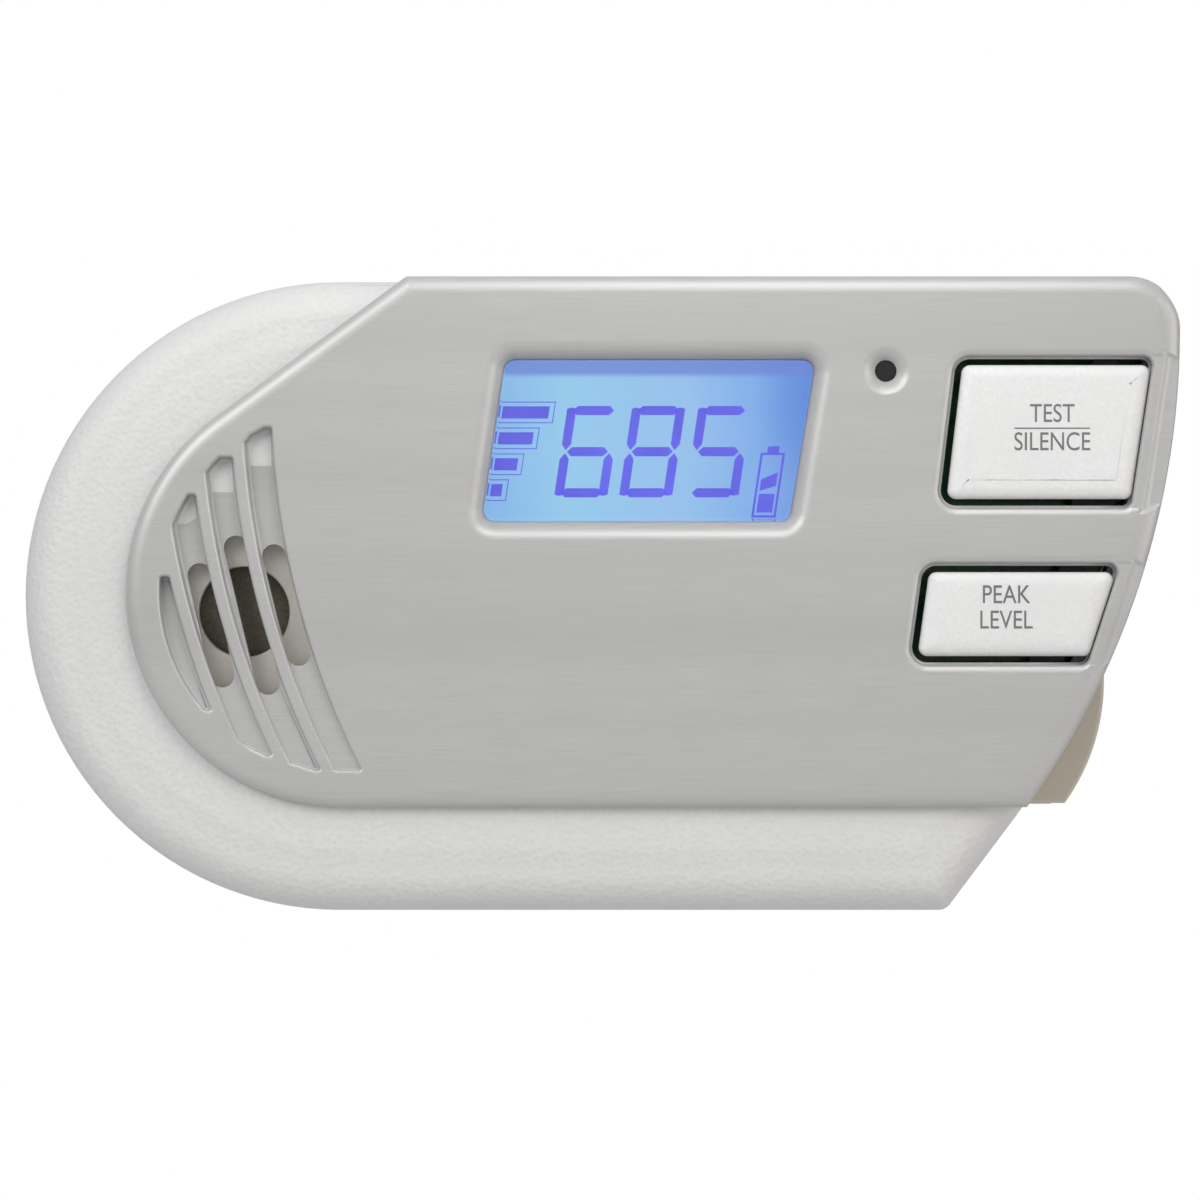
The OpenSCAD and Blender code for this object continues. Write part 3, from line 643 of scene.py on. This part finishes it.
@dataclass
class Fascia:
    """The brushed silver fascia: window, key openings, sound grille and indicator hole."""

    form: Form
    grille_r: float = 25.0
    rib_centre: tuple[float, float] = (69.3, 28.4)
    rib_r: float = 114.8
    rib_pitch: float = 5.65
    channel_w: float = 3.8
    channels: int = 4
    run_out: float = 0.25
    slot_r: float = 1.65
    slots: tuple = (((-55.4, 2.9), (-52.2, -11)), ((-50.4, 6.7), (-45.9, -12)), ((-45.1, 5.5), (-41.7, -8)))

    def channel(self, shift: float) -> list[Corner]:
        """The outline of one grille channel, between two curves and inside the grille's circle."""
        left, right, steps = [], [], 48
        for k in range(steps + 1):
            z = self.form.end_z + self.grille_r * (0.99 - 1.98 * k / steps)
            half = math.sqrt(self.grille_r ** 2 - (z - self.form.end_z) ** 2)
            wall = self.rib_centre[0] + shift - math.sqrt(self.rib_r ** 2 - (z - self.rib_centre[1]) ** 2)
            x0 = max(wall - self.channel_w, self.form.end_x - half)
            x1 = min(wall, self.form.end_x + half)
            if x1 - x0 > 0.9:
                left.append((x0, z, 0.0))
                right.append((x1, z, 0.0))
        for end in (0, -1):
            left[end], right[end] = (*left[end][:2], 0.35), (*right[end][:2], 0.35)
        return left + right[::-1]

    def channel_tool(self, outline: list[Corner]) -> bpy.types.Object:
        """Cutter for a channel with rolled edges, whose floor rises to its lower end."""
        y = self.form.face
        low, high = min(z for _, z, _ in outline), max(z for _, z, _ in outline)
        tool = loft("channel", outline, [
            (-0.6, y - 0.25), (-0.5, y), (-0.3, y + 0.06), (-0.1, y + 0.26), (0, y + 0.6), (0.06, y + 1.7),
            (0.2, y + 2.2), (0.45, y + 2.4)])
        for vert in tool.data.vertices:
            deep = vert.co.y / MM - y
            rise = self.run_out + (1 - self.run_out) * (vert.co.z / MM - low) / (high - low)
            vert.co.y = (y + (deep * rise if deep > 0 else deep)) * MM
        return tool

    def slot(self, top: tuple[float, float], bottom: tuple[float, float]) -> list[Corner]:
        """The outline of one sound slot between the centres of its round ends."""
        a, b = Vector(top), Vector(bottom)
        along = (b - a).normalized() * self.slot_r
        side = Vector((-along.y, along.x))
        ends = (a - along + side * -1, b + along - side, b + along + side, a - along + side)
        points = [ends[0], ends[1], ends[2], ends[3]]
        area = sum(p.x * q.y - q.x * p.y for p, q in zip(points, points[1:] + points[:1]))
        points = points if area > 0 else points[::-1]
        return [(p.x, p.y, self.slot_r - 0.02) for p in points]

    def key_tools(self, key: list[Corner]) -> list[bpy.types.Object]:
        """Cutters for a key's opening and for the notch from it over the right side."""
        y = self.form.face
        opening = loft("opening", key_opening(key), [
            (-1.3, y - 0.2), (-1.15, y), (-0.7, y + 0.08), (-0.3, y + 0.3), (-0.05, y + 0.7),
            (0, y + 1.1), (0, y + 6)])
        low, high = inset(key, -KEY_GAP)[1:3]
        bands = []
        for start in (-1.0, KEY_RAIL + 0.45):
            a, b = low[0] + start - KEY_GAP, high[0] + start - KEY_GAP
            bands.append([(a, low[1], 0.0), (a + 25, low[1], 0.0), (b + 25, high[1], 0.0), (b, high[1], 0.0)])
        shelf = loft("shelf", bands[0], [(-0.8, y - 0.2), (-0.6, y), (-0.2, y + 0.1), (0, y + 0.28)])
        groove = loft("groove", bands[1], [
            (-1.0, y - 0.1), (-0.9, y + 0.2), (-0.5, y + 0.34), (-0.1, y + 0.65), (0.3, y + 0.95),
            (0.7, y + 1.05)])
        return [opening, shelf, groove]

    def build(self) -> None:
        """Makes the fascia and cuts everything into it."""
        form, y = self.form, self.form.face
        outline = form.fascia()
        body = loft("fascia_shell", outline,
                    front_edge(y, 2.4, 1.5, 8) + [(0, y + 3.4), (0, form.split - 0.3)])
        for vert in body.data.vertices:
            arm = Vector((vert.co.x / MM - form.side_x, vert.co.z / MM - form.side_z))
            share = max(0.0, min(1.0, (37 - arm.y - form.side_z) / 6 + 1, (arm.y + form.side_z + 29) / 5))
            gap = form.side_r - arm.length
            if vert.co.x > 0.05 and 0 < gap < 2.6 and arm.y < 7.5:
                arm *= (form.side_r - gap * (1 + 0.55 * share)) / arm.length
                vert.co.x, vert.co.z = (arm.x + form.side_x) * MM, (arm.y + form.side_z) * MM
        peak, skirt = form.peak_x(), y + 3.4
        tools = [loft("hollow", inset(outline, 1.8), [(0, skirt), (0, 0)]),
                 block("left_side", (-90, skirt, -60), (peak, 0, 60)),
                 block("under_side", (peak - 1, skirt, -60), (56, 0, 38))]
        tools.append(loft("window", WINDOW, [
            (-2.9, y - 0.2), (-2.7, y), (-2.1, y + 0.08), (-1.5, y + 0.3), (-0.95, y + 0.7), (-0.5, y + 1.2),
            (-0.15, y + 1.8), (0, y + 2.3), (0, y + 6)]))
        tools.append(loft("indicator", circle(*INDICATOR, 1.5, 40), [
            (-2.4, y - 0.4), (-2.0, y), (-1.5, y + 0.12), (-0.9, y + 0.45), (-0.35, y + 0.9),
            (0, y + 1.3), (0, y + 6)]))
        tools += self.key_tools(TEST_KEY) + self.key_tools(PEAK_KEY)
        for i in range(self.channels):
            tools.append(self.channel_tool(self.channel(-i * self.rib_pitch)))
        tools += [loft("slot", self.slot(*s), [(0, y + 0.5), (0, y + 6)]) for s in self.slots]
        dress(cut(body, tools), BRUSHED_SILVER, "housing", ["fascia"], 28)


@dataclass
class Key:
    """A white key cap with its post and its legend."""

    form: Form
    name: str
    outline: list[Corner]
    words: tuple[str, str]
    words_at: tuple[float, float, float]
    rule: float
    cap_height: float = 2.6
    fall: float = 3.2
    print_t: float = 0.03
    sink: float = 0.55

    def legend(self, word: str, x: float, z: float, face: float) -> bpy.types.Object:
        """Makes one printed word, centred on x and z."""
        curve = bpy.data.curves.new(word.lower(), "FONT")
        curve.body = word
        curve.size = self.cap_height / 0.72
        curve.extrude = self.print_t
        curve.align_x = "CENTER"
        curve.align_y = "CENTER"
        text = bpy.data.objects.new(word.lower(), curve)
        bpy.context.scene.collection.objects.link(text)
        depsgraph = bpy.context.evaluated_depsgraph_get()
        mesh = bpy.data.meshes.new_from_object(text.evaluated_get(depsgraph))
        bpy.data.objects.remove(text)
        place = (Matrix.Translation((x * MM, face * MM, z * MM)) @ Matrix.Rotation(math.pi / 2, 4, "X")
                 @ Matrix.Diagonal((0.8 * MM, MM, MM, 1)))
        mesh.transform(place)
        obj = bpy.data.objects.new(f"{self.name}_{word.lower()}_print", mesh)
        bpy.context.scene.collection.objects.link(obj)
        return obj

    def build(self) -> None:
        """Makes the cap, its post and its legend."""
        low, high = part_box(self.name)
        y, back = low.y / MM + self.print_t, high.y / MM
        bm = bmesh.new()
        add_loft(bm, self.outline, [(3.4, y), (2.6, y), (1.8, y + 0.01), (1.3, y + 0.05), (0.85, y + 0.14),
                                    (0.45, y + 0.32), (0.15, y + 0.62), (0, y + 1.0), (0, y + 2.1)])
        x1, x2 = self.outline[1][0], self.outline[2][0]
        z1, z2 = self.outline[1][1], self.outline[2][1]
        lean = (x2 - x1) / math.hypot(x2 - x1, z2 - z1)
        add_rod(bm, (x1 + x2) / 2 - 6 - 14 / math.sqrt(1 - lean ** 2), (z1 + z2) / 2, 2, y + 2.0, back)
        cap = new_object(self.name + "_cap", bm)
        for vert in cap.data.vertices:
            x, z = vert.co.x / MM, vert.co.z / MM
            near = 1 - ((x1 - x) + (z - z1) * (x2 - x1) / (z2 - z1)) / self.fall
            if near > 0 and vert.co.y / MM < y + 1.5:
                vert.co.y += self.sink * near ** 2 * MM
        dress(cap, KEY_WHITE, self.name, [self.name], 40)
        x, z_top, z_low = self.words_at
        for word, z in zip(self.words, (z_top, z_low)):
            dress(self.legend(word, x, z, y), PRINT_GREY, self.name)
        if self.rule:
            middle, half = (z_top + z_low) / 2, 0.09
            line = block(self.name + "_rule", (x - self.rule, y - self.print_t, middle - half),
                         (x + self.rule, y + self.print_t, middle + half))
            dress(line, PRINT_GREY, self.name)


@dataclass
class Display:
    """The lit display: window, glass and the inked segments on it."""

    form: Form
    slant: float = math.tan(math.radians(8.5))
    digits: str = "685"
    digit_x: tuple[float, ...] = (-6.4, 2.6, 11.8)
    digit_low: float = 13.7
    digit_size: tuple[float, float] = (7.4, 12.7)
    bar: float = 1.28

    levels: tuple[float, ...] = (3.1, 4.7, 6.3, 8.0)
    level_x: float = -16.1
    level_low: float = 13.2
    level_pitch: float = 3.6

    SEGMENTS = {"6": "acdefg", "8": "abcdefg", "5": "acdfg"}

    def patch(self, bm: bmesh.types.BMesh, points: Sequence[tuple[float, float]], y: float) -> None:
        """Adds one thin inked shape, leaned over like the digits."""
        leaned = [(x + (z - self.digit_low) * self.slant, z) for x, z in points]
        face = bm.faces.new([bm.verts.new((x * MM, y * MM, z * MM)) for x, z in leaned])
        raised = bmesh.ops.extrude_face_region(bm, geom=[face])["geom"]
        moved = [v for v in raised if isinstance(v, bmesh.types.BMVert)]
        bmesh.ops.translate(bm, verts=moved, vec=(0, -0.04 * MM, 0))

    def digit(self, bm: bmesh.types.BMesh, shape: str, x: float, y: float) -> None:
        """Adds one seven-segment digit with its lower left corner at x."""
        w, h = self.digit_size
        z, t, g = self.digit_low, self.bar, 0.2
        mid = z + h / 2
        level = {"d": z + t / 2, "g": mid, "a": z + h - t / 2}
        upright = {"f": (x, mid, z + h), "b": (x + w - t, mid, z + h),
                   "e": (x, z, mid), "c": (x + w - t, z, mid)}
        for name in self.SEGMENTS[shape]:
            if name in level:
                m, a, b, k = level[name], x + t / 2 + g, x + w - t / 2 - g, t / 2
                self.patch(bm, [(a, m), (a + k, m - k), (b - k, m - k), (b, m),
                                (b - k, m + k), (a + k, m + k)], y)
            else:
                left, low, high = upright[name]
                low, high, k, m = low + g, high - g, t / 2, left + t / 2
                cut_low = 0 if low < z + 1 else k
                cut_high = 0 if high > z + h - 1 else k
                self.patch(bm, [(m, low), (left + t, low + cut_low + g),
                                (left + t, high - cut_high - g), (m, high),
                                (left, high - cut_high - g), (left, low + cut_low + g)], y)

    def outline_box(self, bm: bmesh.types.BMesh, box: tuple[float, float, float, float],
                    t: float, y: float) -> None:
        """Adds a thin-lined box as four strips."""
        x0, z0, x1, z1 = box
        for a in ((x0, z0, x1, z0 + t), (x0, z1 - t, x1, z1),
                  (x0, z0 + t, x0 + t, z1 - t), (x1 - t, z0 + t, x1, z1 - t)):
            self.fill(bm, a, y)

    def fill(self, bm: bmesh.types.BMesh, box: tuple[float, float, float, float], y: float) -> None:
        """Adds a filled box."""
        x0, z0, x1, z1 = box
        self.patch(bm, [(x0, z0), (x1, z0), (x1, z1), (x0, z1)], y)

    def build(self) -> None:
        """Makes the window and the segments, and lights the glass."""
        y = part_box("lcd_glass")[0].y / MM
        lens = loft("display_window", inset(WINDOW, 0.06), [
            (0.3, -36.0), (0.05, -35.8), (0, -35.5), (0, -34.8)])
        dress(lens, LENS, "housing", ["lcd_window"])
        bm = bmesh.new()
        for shape, x in zip(self.digits, self.digit_x):
            self.digit(bm, shape, x, y - 0.01)
        for k, w in enumerate(self.levels):
            z = self.level_low + self.level_pitch * k
            self.outline_box(bm, (self.level_x, z, self.level_x + w, z + 3.0), 0.13, y - 0.01)
            self.fill(bm, (self.level_x + 0.75, z + 0.65, self.level_x + w - 0.75, z + 2.35), y - 0.01)
        self.outline_box(bm, (21.4, 10.9, 24.8, 19.9), 0.32, y - 0.01)
        self.fill(bm, (22.3, 19.9, 23.9, 20.8), y - 0.01)
        self.fill(bm, (22.0, 11.6, 24.2, 14.2), y - 0.01)
        self.patch(bm, [(22.0, 14.6), (24.2, 15.3), (24.2, 17.2), (22.0, 16.2)], y - 0.01)
        bmesh.ops.recalc_face_normals(bm, faces=bm.faces)
        dress(new_object("display_segments", bm), INK, "housing")
        assign("lcd_glass", LitGlass("lit_glass", WINDOW[0][0], WINDOW[2][0]))


@dataclass
class Horn:
    """The horn's chamber behind the sound slots."""

    r: float = 15.0
    hole_r: float = 6.25

    def build(self) -> None:
        """Makes the chamber with its round port."""
        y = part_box("horn_chamber")[0].y / MM
        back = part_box("horn_chamber")[1].y / MM
        body = loft("horn_chamber_shell", circle(*HORN, self.r, 72), [
            (0.7, y), (0.2, y + 0.2), (0, y + 0.7), (0, back)])
        port = loft("port", circle(*HORN, self.hole_r, 64), [
            (-0.5, y - 0.2), (-0.35, y), (-0.1, y + 0.12), (0, y + 0.4), (0, y + 3)])
        inside = loft("inside", circle(*HORN, self.r - 1.7, 72), [(0, y + 1.6), (0, back + 1)])
        dress(cut(body, [port, inside]), CHAMBER, "housing", ["horn_chamber"])


@dataclass
class RearCase:
    """The white rear case: back wall, vents, screw holes, plug opening and battery bay."""

    form: Form
    edge_r: float = 3.0
    screws: tuple = ((-66, 22), (-66, -22), (38, -37), (60, 37))
    post_r: float = 4.6
    screw_hole_r: float = 3.2
    seat: float = -12.0
    head: float = -10.4
    plug: tuple[float, float] = (11.0, 8.5)
    label: tuple[float, float, float, float] = (-62, -13, -28, 13)
    vents: int = 8
    vent_pitch: float = 6.5
    vent_x: float = -41.0

    def vent(self, x: float, side: int) -> bpy.types.Object:
        """Cutter for one round-ended vent in the bottom or the top."""
        ends = [(x, y, side * 44) for y in (-16.1, -6.9)]
        slot = block("vent", (x - 0.9, -16.1, 44 * side - 6), (x + 0.9, -6.9, 44 * side + 6))
        rounds = [bar("vent_end", [(x, y, 44 * side - 6), (x, y, 44 * side + 6)], 0.9) for _, y, _ in ends]
        return cut(slot, rounds, "UNION")

    def build(self) -> None:
        """Makes the case around its bay and its screw posts."""
        form, r, wall = self.form, self.edge_r, self.form.wall
        low, high = form.bay_low, form.bay_high
        turns = [math.pi / 2 * k / 8 for k in range(9)]
        back = [(r * (1 - math.cos(t)), -r * (1 - math.sin(t))) for t in turns]
        shell = loft("rear_case_shell", form.case(), [(0.3, form.split), (0, form.split + 0.35)] + back)
        room = loft("room", inset(form.case(), wall), [(0, form.split - 1), (0, -wall)])
        kept = [loft("post", circle(x, z, self.post_r, 40), [(0, self.seat), (0, 1)]) for x, z in self.screws]
        shell = cut(shell, [cut(room, kept)])
        bay = block("bay", (low[0] - 1.2, low[1] - 0.6, low[2] - 1.2), (high[0], -0.6, high[2] + 1.2))
        corner = block("corner", (high[0] - 12, -30, form.cap_low - 0.2),
                       (high[0] + 1, form.split + 0.9, -13))
        kept_side = loft("kept", inset(form.case(), -0.05), [(0, -40), (0, 0)])
        bay = cut(bay, [cut(corner, [kept_side])])
        cap_back = loft("cap_back", form.cap(), [(0.02, -wall), (0.02, -0.9), (0.3, -0.6)])
        shell = cut(shell, [bay, cap_back], "UNION")
        tools = [block("bay", low, (high[0] + 1, high[1], high[2])),
                 block("cap_room", (high[0], form.split - 1, form.cap_low - 0.5),
                       (90, -wall, form.cap_high + 0.2))]
        for x, z in self.screws:
            tools.append(loft("head", circle(x, z, self.screw_hole_r, 48), [
                (0, self.head), (0, -0.5), (-0.15, -0.15), (-0.5, 0), (-0.6, 1)]))
            tools.append(loft("shank", circle(x, z, 1.7, 32), [(0, self.seat - 1), (0, self.head + 1)]))
        px, pz = self.plug
        corners = [(-px, -pz, 0.6), (px, -pz, 0.6), (px, pz, 0.6), (-px, pz, 0.6)]
        tools.append(loft("plug", corners, [(0, -wall - 1), (0, -0.5), (-0.15, -0.15), (-0.5, 0), (-0.6, 1)]))
        x0, z0, x1, z1 = self.label
        tools.append(loft("label", [(x0, z0, 1), (x1, z0, 1), (x1, z1, 1), (x0, z1, 1)], [(0, -0.2), (0, 1)]))
        tools += [self.vent(self.vent_x + self.vent_pitch * i, side)
                  for i in range(self.vents) for side in (-1, 1)]
        dress(cut(shell, tools), CASE_WHITE, "housing", ["rear_case"])


@dataclass
class Drawer:
    """The battery drawer: a cap coloured darker warm beige as painted shade and painted warm reflection, with
    a grip groove, and the tray behind it.
    """

    form: Form
    play: float = 0.3
    lip: float = 0.6
    battery_low: tuple[float, float, float] = (17.1, -20.95, -26.7)
    battery_size: tuple[float, float, float] = (46.4, 17.5, 26.5)

    def build(self) -> None:
        """Makes the cap, its groove and the tray."""
        form, play = self.form, self.play
        front, back = form.split + 0.2, -form.wall - play
        edge = front_edge(front, 0.55, 0.55, 6)
        cap = loft("drawer_shell", form.cap(), edge + [(0, back - 0.3), (0.3, back)])
        x, z = form.cap_x + form.cap_r + 0.4, form.cap_z
        behind_lip = block("behind_lip", (50, front + self.lip, -60), (form.cap_left, 20, 60))
        grooves = [bar("groove", [(x, z + dy, -60), (x, z + dy, 60)], 1.25) for dy in (-3.2, 0, 3.2)]
        cap = cut(cap, [behind_lip, *grooves])
        low = [v + play for v in form.bay_low]
        low[0] += 1.9
        high = [form.bay_high[0] + 0.6, form.bay_high[1] - play, form.bay_high[2] - play]
        (bx, by, bz), (_, sy, sz) = self.battery_low, self.battery_size
        tray = [block("tray", (low[0], by + sy, low[2]), high)]
        for z0, z1 in ((low[2], bz), (bz + sz, high[2])):
            tray.append(block("tray", (low[0], low[1], z0), (high[0], high[1], z1)))
        for z0, z1 in ((low[2], low[2] + 2.8), (high[2] - 2.8, high[2])):
            tray.append(block("tray", (low[0], low[1], z0), (bx, high[1], z1)))
        dress(cut(cap, tray, "UNION"), DRAWER_SHADE_BEIGE, "drawer", ["battery_drawer"])


@dataclass
class BackParts:
    """Plug, blades, screws and battery, from their CAD shapes with softened edges."""

    pieces: tuple = (
        ("plug_block", 0.35, BLACK_PLASTIC_AND_GAP_SHADE, "housing", "plug_black"),
        ("blade_live", 0.15, NICKEL, "housing", "nickel"),
        ("blade_neutral", 0.15, NICKEL, "housing", "nickel"),
        ("case_screws", 0.12, STEEL, "housing", "screw_steel"),
        ("battery", 1.2, CELL_WRAP, "drawer", "battery_can"),
    )

    def build(self) -> None:
        """Makes each piece."""
        for node, edge, finish, body, slot in self.pieces:
            dress(refined(node, edge), finish, body, [node])


def assign(node: str, finish: Finish | ClearFinish | LitGlass) -> None:
    """Gives a CAD node its finish."""
    obj = frame["nodes"][node]
    obj.data.materials.clear()
    obj.data.materials.append(finish.material())
    log.info("%s: %s", node, finish.name)


INSIDE: dict[str, Finish | ClearFinish] = {
    "lcd_holder": MILKY, "lcd_backlight": MILKY, "zebra_strips": RUBBER, "horn_gasket": FOAM,
    "piezo_disc": BRONZE, "horn_leads": RED_SLEEVE, "circuit_board": SOLDER_MASK, "microcontroller": BLACK_PLASTIC_AND_GAP_SHADE,
    "surface_parts": CERAMIC, "co_sensor_cell": SENSOR_CAN, "gas_sensor": SENSOR_CAN,
    "transformer_core": IRON, "transformer_coil": TAPE, "capacitors": BLUE_SLEEVE, "fuse": GLASS_TUBE,
    "varistor": DIPPED_BLUE, "test_switch_body": BLACK_PLASTIC_AND_GAP_SHADE, "peak_switch_body": BLACK_PLASTIC_AND_GAP_SHADE,
    # The key hinge strip is made black so the gaps around the keys read dark: painted shade. The other black
    # parts are black plastic.
    "test_switch_plunger": BLACK_PLASTIC_AND_GAP_SHADE, "peak_switch_plunger": BLACK_PLASTIC_AND_GAP_SHADE, "key_hinge_strip": BLACK_PLASTIC_AND_GAP_SHADE,
    "status_led": LED_RED, "led_light_guide": GLOSS_BLACK, "mains_leads": RED_SLEEVE,
    "board_screws": STEEL, "rating_label": LABEL, "battery_terminals": NICKEL, "battery_contacts": NICKEL,
}


@dataclass
class Studio:
    """Camera, soft lights, white surround and a pale floor."""

    view_width: float = 0.1656
    distance: float = 0.75
    sensor: float = 36.0
    floor_z: float = -0.2
    floor_r: float = 0.9

    def camera(self) -> None:
        """Places the camera square to the face."""
        data = bpy.data.cameras.new("camera")
        data.sensor_width = self.sensor
        data.lens = self.sensor * self.distance / self.view_width
        data.clip_start = 0.01
        obj = bpy.data.objects.new("camera", data)
        obj.location = (0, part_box("fascia")[0].y - self.distance, -0.00055)
        obj.rotation_euler = (math.pi / 2, 0, 0)
        bpy.context.scene.collection.objects.link(obj)
        bpy.context.scene.camera = obj

    def area(self, name: str, at: Colour, size: float, power: float, colour: Colour) -> None:
        """Adds a soft square light aimed at the alarm."""
        data = bpy.data.lights.new(name, "AREA")
        data.size, data.energy, data.color = size, power, colour
        obj = bpy.data.objects.new(name, data)
        obj.location = at
        obj.rotation_euler = (-Vector(at)).to_track_quat("-Z", "Y").to_euler()
        obj.visible_camera = False
        bpy.context.scene.collection.objects.link(obj)

    def world(self) -> None:
        """White to the camera, and a soft sky that is darker below for everything else."""
        world = bpy.data.worlds.new("surround")
        world.use_nodes = True
        bpy.context.scene.world = world
        nodes, links = world.node_tree.nodes, world.node_tree.links
        sky = nodes["Background"]
        place = nodes.new("ShaderNodeTexCoord")
        parts = nodes.new("ShaderNodeSeparateXYZ")
        ramp = nodes.new("ShaderNodeValToRGB")
        level = nodes.new("ShaderNodeMapRange")
        links.new(place.outputs["Generated"], parts.inputs["Vector"])
        links.new(parts.outputs["Z"], level.inputs["Value"])
        level.inputs["From Min"].default_value = -0.45
        level.inputs["From Max"].default_value = 0.45
        links.new(level.outputs["Result"], ramp.inputs["Fac"])
        ramp.color_ramp.elements[0].color = (0.17, 0.167, 0.16, 1)
        ramp.color_ramp.elements[1].color = (0.60, 0.60, 0.61, 1)
        links.new(ramp.outputs["Color"], sky.inputs["Color"])
        white = nodes.new("ShaderNodeBackground")
        white.inputs["Color"].default_value = (1, 1, 1, 1)
        rays = nodes.new("ShaderNodeLightPath")
        mix = nodes.new("ShaderNodeMixShader")
        links.new(rays.outputs["Is Camera Ray"], mix.inputs["Fac"])
        links.new(sky.outputs["Background"], mix.inputs[1])
        links.new(white.outputs["Background"], mix.inputs[2])
        links.new(mix.outputs["Shader"], nodes["World Output"].inputs["Surface"])

    def floor(self) -> None:
        """Adds the pale floor."""
        bm = bmesh.new()
        bmesh.ops.create_circle(bm, cap_ends=True, segments=96, radius=self.floor_r,
                                matrix=Matrix.Translation((0, 0, self.floor_z)))
        floor = new_object("floor", bm)
        floor.data.materials.append(Finish("pale_floor", (0.74, 0.74, 0.74), (0.78, 0.78, 0.78), (0.6, 0.7),
                                           size_mm=3.0, bump=0.05).material())

    def build(self) -> None:
        """Sets up the whole studio."""
        self.camera()
        self.world()
        self.floor()
        self.area("key_light", (-0.48, -0.62, 0.40), 0.4, 2.6, (1.0, 0.995, 0.985))
        self.area("top_card", (0.03, -0.17, 0.15), 0.12, 0.15, (1.0, 1.0, 1.0))
        self.area("warm_fill", (0.75, -0.45, 0.10), 0.5, 1.5, (1.0, 0.94, 0.85))
        bpy.context.scene.view_settings.view_transform = "Standard"


def main() -> None:
    """Builds every sub-assembly around the frame."""
    logging.basicConfig(level=logging.INFO, format="%(name)s: %(message)s")
    Studio().build()
    form = Form()
    FrontCase(form).build()
    Fascia(form).build()
    Key(form, "test_key", TEST_KEY, ("TEST", "SILENCE"), (62.4, 25.1, 21.2), 5.2).build()
    Key(form, "peak_key", PEAK_KEY, ("PEAK", "LEVEL"), (56.0, 0.1, -3.4), 0).build()
    Display(form).build()
    Horn().build()
    RearCase(form).build()
    Drawer(form).build()
    BackParts().build()
    for node, finish in INSIDE.items():
        assign(node, finish)


if __name__ == "__main__":
    main()
